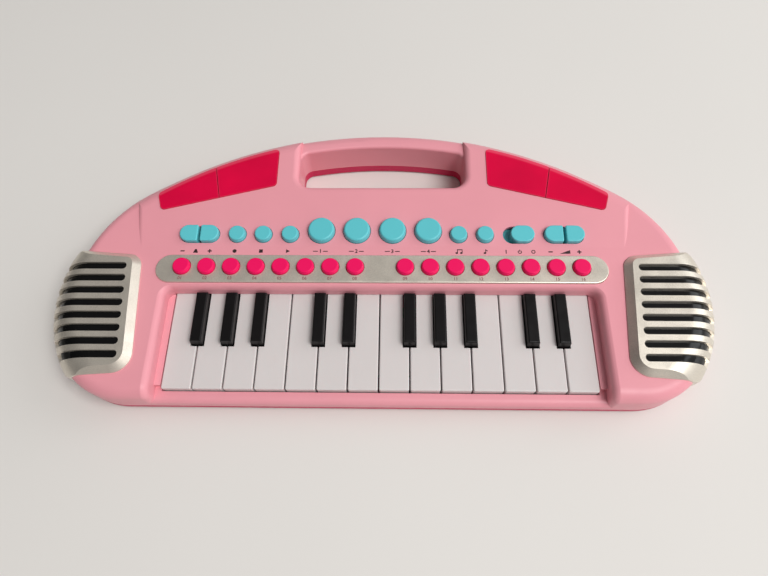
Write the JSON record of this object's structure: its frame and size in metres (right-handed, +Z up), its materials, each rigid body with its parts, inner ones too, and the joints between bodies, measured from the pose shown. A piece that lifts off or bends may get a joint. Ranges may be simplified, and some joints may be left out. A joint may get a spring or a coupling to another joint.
{
  "type": "toy electronic keyboard",
  "caption": "Toy electronic keyboard with hinged piano keys, press buttons, a power slide, light lenses, speaker grilles at both ends and a carry handle.",
  "frame": {"origin": "on the floor plane under the feet, below the middle of the case's outline", "axes": "+X along the keys to the player's right, +Y from the player to the carry handle, +Z up"},
  "size_m": [0.4224, 0.193, 0.035],
  "materials": {
    "pink_case": "satin",
    "magenta_case": "satin",
    "magenta_rubber": "satin",
    "turquoise_plastic": "gloss",
    "silver_plastic": "metallic silver",
    "white_key_plastic": "gloss",
    "black_key_plastic": "satin",
    "black_liner": "matte",
    "red_lens": "translucent gloss",
    "steel": "bright",
    "board_green": "solder mask",
    "contact_rubber": "matte",
    "black_rubber": "matte",
    "speaker_metal": "satin",
    "cell_jacket": "printed film",
    "diode_red": "clear"
  },
  "bodies": {
    "case": {"top_case": "pink_case", "bottom_case": "magenta_case", "battery_door": "magenta_case", "case_screws": "steel", "rubber_feet": "black_rubber", "batteries": "cell_jacket", "battery_contacts": "steel", "control_strip": "silver_plastic", "main_board": "board_green", "light_boards": "board_green", "light_diodes": "diode_red", "key_hinge_rod": "steel", "key_board": "board_green", "key_contact_strip": "contact_rubber", "light_lens_right": "red_lens", "light_lens_left": "red_lens", "speaker_grille_right": "silver_plastic", "speaker_grille_left": "silver_plastic", "grille_liners": "black_liner", "speakers": "speaker_metal"},
    "white_key_01": {"white_key_01": "white_key_plastic"},
    "white_key_02": {"white_key_02": "white_key_plastic"},
    "white_key_03": {"white_key_03": "white_key_plastic"},
    "white_key_04": {"white_key_04": "white_key_plastic"},
    "white_key_05": {"white_key_05": "white_key_plastic"},
    "white_key_06": {"white_key_06": "white_key_plastic"},
    "white_key_07": {"white_key_07": "white_key_plastic"},
    "white_key_08": {"white_key_08": "white_key_plastic"},
    "white_key_09": {"white_key_09": "white_key_plastic"},
    "white_key_10": {"white_key_10": "white_key_plastic"},
    "white_key_11": {"white_key_11": "white_key_plastic"},
    "white_key_12": {"white_key_12": "white_key_plastic"},
    "white_key_13": {"white_key_13": "white_key_plastic"},
    "white_key_14": {"white_key_14": "white_key_plastic"},
    "black_key_01": {"black_key_01": "black_key_plastic"},
    "black_key_02": {"black_key_02": "black_key_plastic"},
    "black_key_03": {"black_key_03": "black_key_plastic"},
    "black_key_04": {"black_key_04": "black_key_plastic"},
    "black_key_05": {"black_key_05": "black_key_plastic"},
    "black_key_06": {"black_key_06": "black_key_plastic"},
    "black_key_07": {"black_key_07": "black_key_plastic"},
    "black_key_08": {"black_key_08": "black_key_plastic"},
    "black_key_09": {"black_key_09": "black_key_plastic"},
    "black_key_10": {"black_key_10": "black_key_plastic"},
    "tempo_minus_button": {"tempo_minus_button": "turquoise_plastic"},
    "tempo_plus_button": {"tempo_plus_button": "turquoise_plastic"},
    "record_button": {"record_button": "turquoise_plastic"},
    "stop_button": {"stop_button": "turquoise_plastic"},
    "play_button": {"play_button": "turquoise_plastic"},
    "bass_drum_pad": {"bass_drum_pad": "turquoise_plastic"},
    "snare_drum_pad": {"snare_drum_pad": "turquoise_plastic"},
    "hi_hat_pad": {"hi_hat_pad": "turquoise_plastic"},
    "cymbal_pad": {"cymbal_pad": "turquoise_plastic"},
    "demo_all_button": {"demo_all_button": "turquoise_plastic"},
    "demo_one_button": {"demo_one_button": "turquoise_plastic"},
    "volume_minus_button": {"volume_minus_button": "turquoise_plastic"},
    "volume_plus_button": {"volume_plus_button": "turquoise_plastic"},
    "rhythm_button_mat": {"rhythm_button_mat": "magenta_rubber"},
    "tone_button_mat": {"tone_button_mat": "magenta_rubber"},
    "power_knob": {"power_knob": "turquoise_plastic"}
  },
  "joints": [
    {"name": "white_key_01_hinge", "type": "hinge", "parent": "case", "child": "white_key_01", "pos_m": [-0.1235, -0.01225, 0.013], "axis": [1, 0, 0], "range_deg": [0, 3.3], "stiffness_Nm_per_rad": 0.1, "springref_deg": -14.32},
    {"name": "white_key_02_hinge", "type": "hinge", "parent": "case", "child": "white_key_02", "pos_m": [-0.1045, -0.01225, 0.013], "axis": [1, 0, 0], "range_deg": [0, 3.3], "stiffness_Nm_per_rad": 0.1, "springref_deg": -14.32},
    {"name": "white_key_03_hinge", "type": "hinge", "parent": "case", "child": "white_key_03", "pos_m": [-0.0855, -0.01225, 0.013], "axis": [1, 0, 0], "range_deg": [0, 3.3], "stiffness_Nm_per_rad": 0.1, "springref_deg": -14.32},
    {"name": "white_key_04_hinge", "type": "hinge", "parent": "case", "child": "white_key_04", "pos_m": [-0.0665, -0.01225, 0.013], "axis": [1, 0, 0], "range_deg": [0, 3.3], "stiffness_Nm_per_rad": 0.1, "springref_deg": -14.32},
    {"name": "white_key_05_hinge", "type": "hinge", "parent": "case", "child": "white_key_05", "pos_m": [-0.0475, -0.01225, 0.013], "axis": [1, 0, 0], "range_deg": [0, 3.3], "stiffness_Nm_per_rad": 0.1, "springref_deg": -14.32},
    {"name": "white_key_06_hinge", "type": "hinge", "parent": "case", "child": "white_key_06", "pos_m": [-0.0285, -0.01225, 0.013], "axis": [1, 0, 0], "range_deg": [0, 3.3], "stiffness_Nm_per_rad": 0.1, "springref_deg": -14.32},
    {"name": "white_key_07_hinge", "type": "hinge", "parent": "case", "child": "white_key_07", "pos_m": [-0.0095, -0.01225, 0.013], "axis": [1, 0, 0], "range_deg": [0, 3.3], "stiffness_Nm_per_rad": 0.1, "springref_deg": -14.32},
    {"name": "white_key_08_hinge", "type": "hinge", "parent": "case", "child": "white_key_08", "pos_m": [0.0095, -0.01225, 0.013], "axis": [1, 0, 0], "range_deg": [0, 3.3], "stiffness_Nm_per_rad": 0.1, "springref_deg": -14.32},
    {"name": "white_key_09_hinge", "type": "hinge", "parent": "case", "child": "white_key_09", "pos_m": [0.0285, -0.01225, 0.013], "axis": [1, 0, 0], "range_deg": [0, 3.3], "stiffness_Nm_per_rad": 0.1, "springref_deg": -14.32},
    {"name": "white_key_10_hinge", "type": "hinge", "parent": "case", "child": "white_key_10", "pos_m": [0.0475, -0.01225, 0.013], "axis": [1, 0, 0], "range_deg": [0, 3.3], "stiffness_Nm_per_rad": 0.1, "springref_deg": -14.32},
    {"name": "white_key_11_hinge", "type": "hinge", "parent": "case", "child": "white_key_11", "pos_m": [0.0665, -0.01225, 0.013], "axis": [1, 0, 0], "range_deg": [0, 3.3], "stiffness_Nm_per_rad": 0.1, "springref_deg": -14.32},
    {"name": "white_key_12_hinge", "type": "hinge", "parent": "case", "child": "white_key_12", "pos_m": [0.0855, -0.01225, 0.013], "axis": [1, 0, 0], "range_deg": [0, 3.3], "stiffness_Nm_per_rad": 0.1, "springref_deg": -14.32},
    {"name": "white_key_13_hinge", "type": "hinge", "parent": "case", "child": "white_key_13", "pos_m": [0.1045, -0.01225, 0.013], "axis": [1, 0, 0], "range_deg": [0, 3.3], "stiffness_Nm_per_rad": 0.1, "springref_deg": -14.32},
    {"name": "white_key_14_hinge", "type": "hinge", "parent": "case", "child": "white_key_14", "pos_m": [0.1235, -0.01225, 0.013], "axis": [1, 0, 0], "range_deg": [0, 3.3], "stiffness_Nm_per_rad": 0.1, "springref_deg": -14.32},
    {"name": "black_key_01_hinge", "type": "hinge", "parent": "case", "child": "black_key_01", "pos_m": [-0.114, -0.01225, 0.013], "axis": [1, 0, 0], "range_deg": [0, 3.3], "stiffness_Nm_per_rad": 0.1, "springref_deg": -14.32},
    {"name": "black_key_02_hinge", "type": "hinge", "parent": "case", "child": "black_key_02", "pos_m": [-0.095, -0.01225, 0.013], "axis": [1, 0, 0], "range_deg": [0, 3.3], "stiffness_Nm_per_rad": 0.1, "springref_deg": -14.32},
    {"name": "black_key_03_hinge", "type": "hinge", "parent": "case", "child": "black_key_03", "pos_m": [-0.076, -0.01225, 0.013], "axis": [1, 0, 0], "range_deg": [0, 3.3], "stiffness_Nm_per_rad": 0.1, "springref_deg": -14.32},
    {"name": "black_key_04_hinge", "type": "hinge", "parent": "case", "child": "black_key_04", "pos_m": [-0.038, -0.01225, 0.013], "axis": [1, 0, 0], "range_deg": [0, 3.3], "stiffness_Nm_per_rad": 0.1, "springref_deg": -14.32},
    {"name": "black_key_05_hinge", "type": "hinge", "parent": "case", "child": "black_key_05", "pos_m": [-0.019, -0.01225, 0.013], "axis": [1, 0, 0], "range_deg": [0, 3.3], "stiffness_Nm_per_rad": 0.1, "springref_deg": -14.32},
    {"name": "black_key_06_hinge", "type": "hinge", "parent": "case", "child": "black_key_06", "pos_m": [0.019, -0.01225, 0.013], "axis": [1, 0, 0], "range_deg": [0, 3.3], "stiffness_Nm_per_rad": 0.1, "springref_deg": -14.32},
    {"name": "black_key_07_hinge", "type": "hinge", "parent": "case", "child": "black_key_07", "pos_m": [0.038, -0.01225, 0.013], "axis": [1, 0, 0], "range_deg": [0, 3.3], "stiffness_Nm_per_rad": 0.1, "springref_deg": -14.32},
    {"name": "black_key_08_hinge", "type": "hinge", "parent": "case", "child": "black_key_08", "pos_m": [0.057, -0.01225, 0.013], "axis": [1, 0, 0], "range_deg": [0, 3.3], "stiffness_Nm_per_rad": 0.1, "springref_deg": -14.32},
    {"name": "black_key_09_hinge", "type": "hinge", "parent": "case", "child": "black_key_09", "pos_m": [0.095, -0.01225, 0.013], "axis": [1, 0, 0], "range_deg": [0, 3.3], "stiffness_Nm_per_rad": 0.1, "springref_deg": -14.32},
    {"name": "black_key_10_hinge", "type": "hinge", "parent": "case", "child": "black_key_10", "pos_m": [0.114, -0.01225, 0.013], "axis": [1, 0, 0], "range_deg": [0, 3.3], "stiffness_Nm_per_rad": 0.1, "springref_deg": -14.32},
    {"name": "tempo_minus_button_press", "type": "slide", "parent": "case", "child": "tempo_minus_button", "axis": [0, 0.0558, -0.9984], "range_m": [0, 0.0012], "stiffness_N_per_m": 150, "springref_m": -0.006},
    {"name": "tempo_plus_button_press", "type": "slide", "parent": "case", "child": "tempo_plus_button", "axis": [0, 0.0558, -0.9984], "range_m": [0, 0.0012], "stiffness_N_per_m": 150, "springref_m": -0.006},
    {"name": "record_button_press", "type": "slide", "parent": "case", "child": "record_button", "axis": [0, 0.0558, -0.9984], "range_m": [0, 0.0012], "stiffness_N_per_m": 150, "springref_m": -0.006},
    {"name": "stop_button_press", "type": "slide", "parent": "case", "child": "stop_button", "axis": [0, 0.0558, -0.9984], "range_m": [0, 0.0012], "stiffness_N_per_m": 150, "springref_m": -0.006},
    {"name": "play_button_press", "type": "slide", "parent": "case", "child": "play_button", "axis": [0, 0.0558, -0.9984], "range_m": [0, 0.0012], "stiffness_N_per_m": 150, "springref_m": -0.006},
    {"name": "bass_drum_pad_press", "type": "slide", "parent": "case", "child": "bass_drum_pad", "axis": [0, 0.0558, -0.9984], "range_m": [0, 0.0012], "stiffness_N_per_m": 150, "springref_m": -0.006},
    {"name": "snare_drum_pad_press", "type": "slide", "parent": "case", "child": "snare_drum_pad", "axis": [0, 0.0558, -0.9984], "range_m": [0, 0.0012], "stiffness_N_per_m": 150, "springref_m": -0.006},
    {"name": "hi_hat_pad_press", "type": "slide", "parent": "case", "child": "hi_hat_pad", "axis": [0, 0.0558, -0.9984], "range_m": [0, 0.0012], "stiffness_N_per_m": 150, "springref_m": -0.006},
    {"name": "cymbal_pad_press", "type": "slide", "parent": "case", "child": "cymbal_pad", "axis": [0, 0.0558, -0.9984], "range_m": [0, 0.0012], "stiffness_N_per_m": 150, "springref_m": -0.006},
    {"name": "demo_all_button_press", "type": "slide", "parent": "case", "child": "demo_all_button", "axis": [0, 0.0558, -0.9984], "range_m": [0, 0.0012], "stiffness_N_per_m": 150, "springref_m": -0.006},
    {"name": "demo_one_button_press", "type": "slide", "parent": "case", "child": "demo_one_button", "axis": [0, 0.0558, -0.9984], "range_m": [0, 0.0012], "stiffness_N_per_m": 150, "springref_m": -0.006},
    {"name": "volume_minus_button_press", "type": "slide", "parent": "case", "child": "volume_minus_button", "axis": [0, 0.0558, -0.9984], "range_m": [0, 0.0012], "stiffness_N_per_m": 150, "springref_m": -0.006},
    {"name": "volume_plus_button_press", "type": "slide", "parent": "case", "child": "volume_plus_button", "axis": [0, 0.0558, -0.9984], "range_m": [0, 0.0012], "stiffness_N_per_m": 150, "springref_m": -0.006},
    {"name": "rhythm_button_mat_press", "type": "slide", "parent": "case", "child": "rhythm_button_mat", "axis": [0, 0, -1], "range_m": [0, 0.0012], "stiffness_N_per_m": 200, "springref_m": -0.006},
    {"name": "tone_button_mat_press", "type": "slide", "parent": "case", "child": "tone_button_mat", "axis": [0, 0, -1], "range_m": [0, 0.0012], "stiffness_N_per_m": 200, "springref_m": -0.006},
    {"name": "power_knob_slide", "type": "slide", "parent": "case", "child": "power_knob", "axis": [-1, 0, 0], "range_m": [0, 0.0045]}
  ]
}
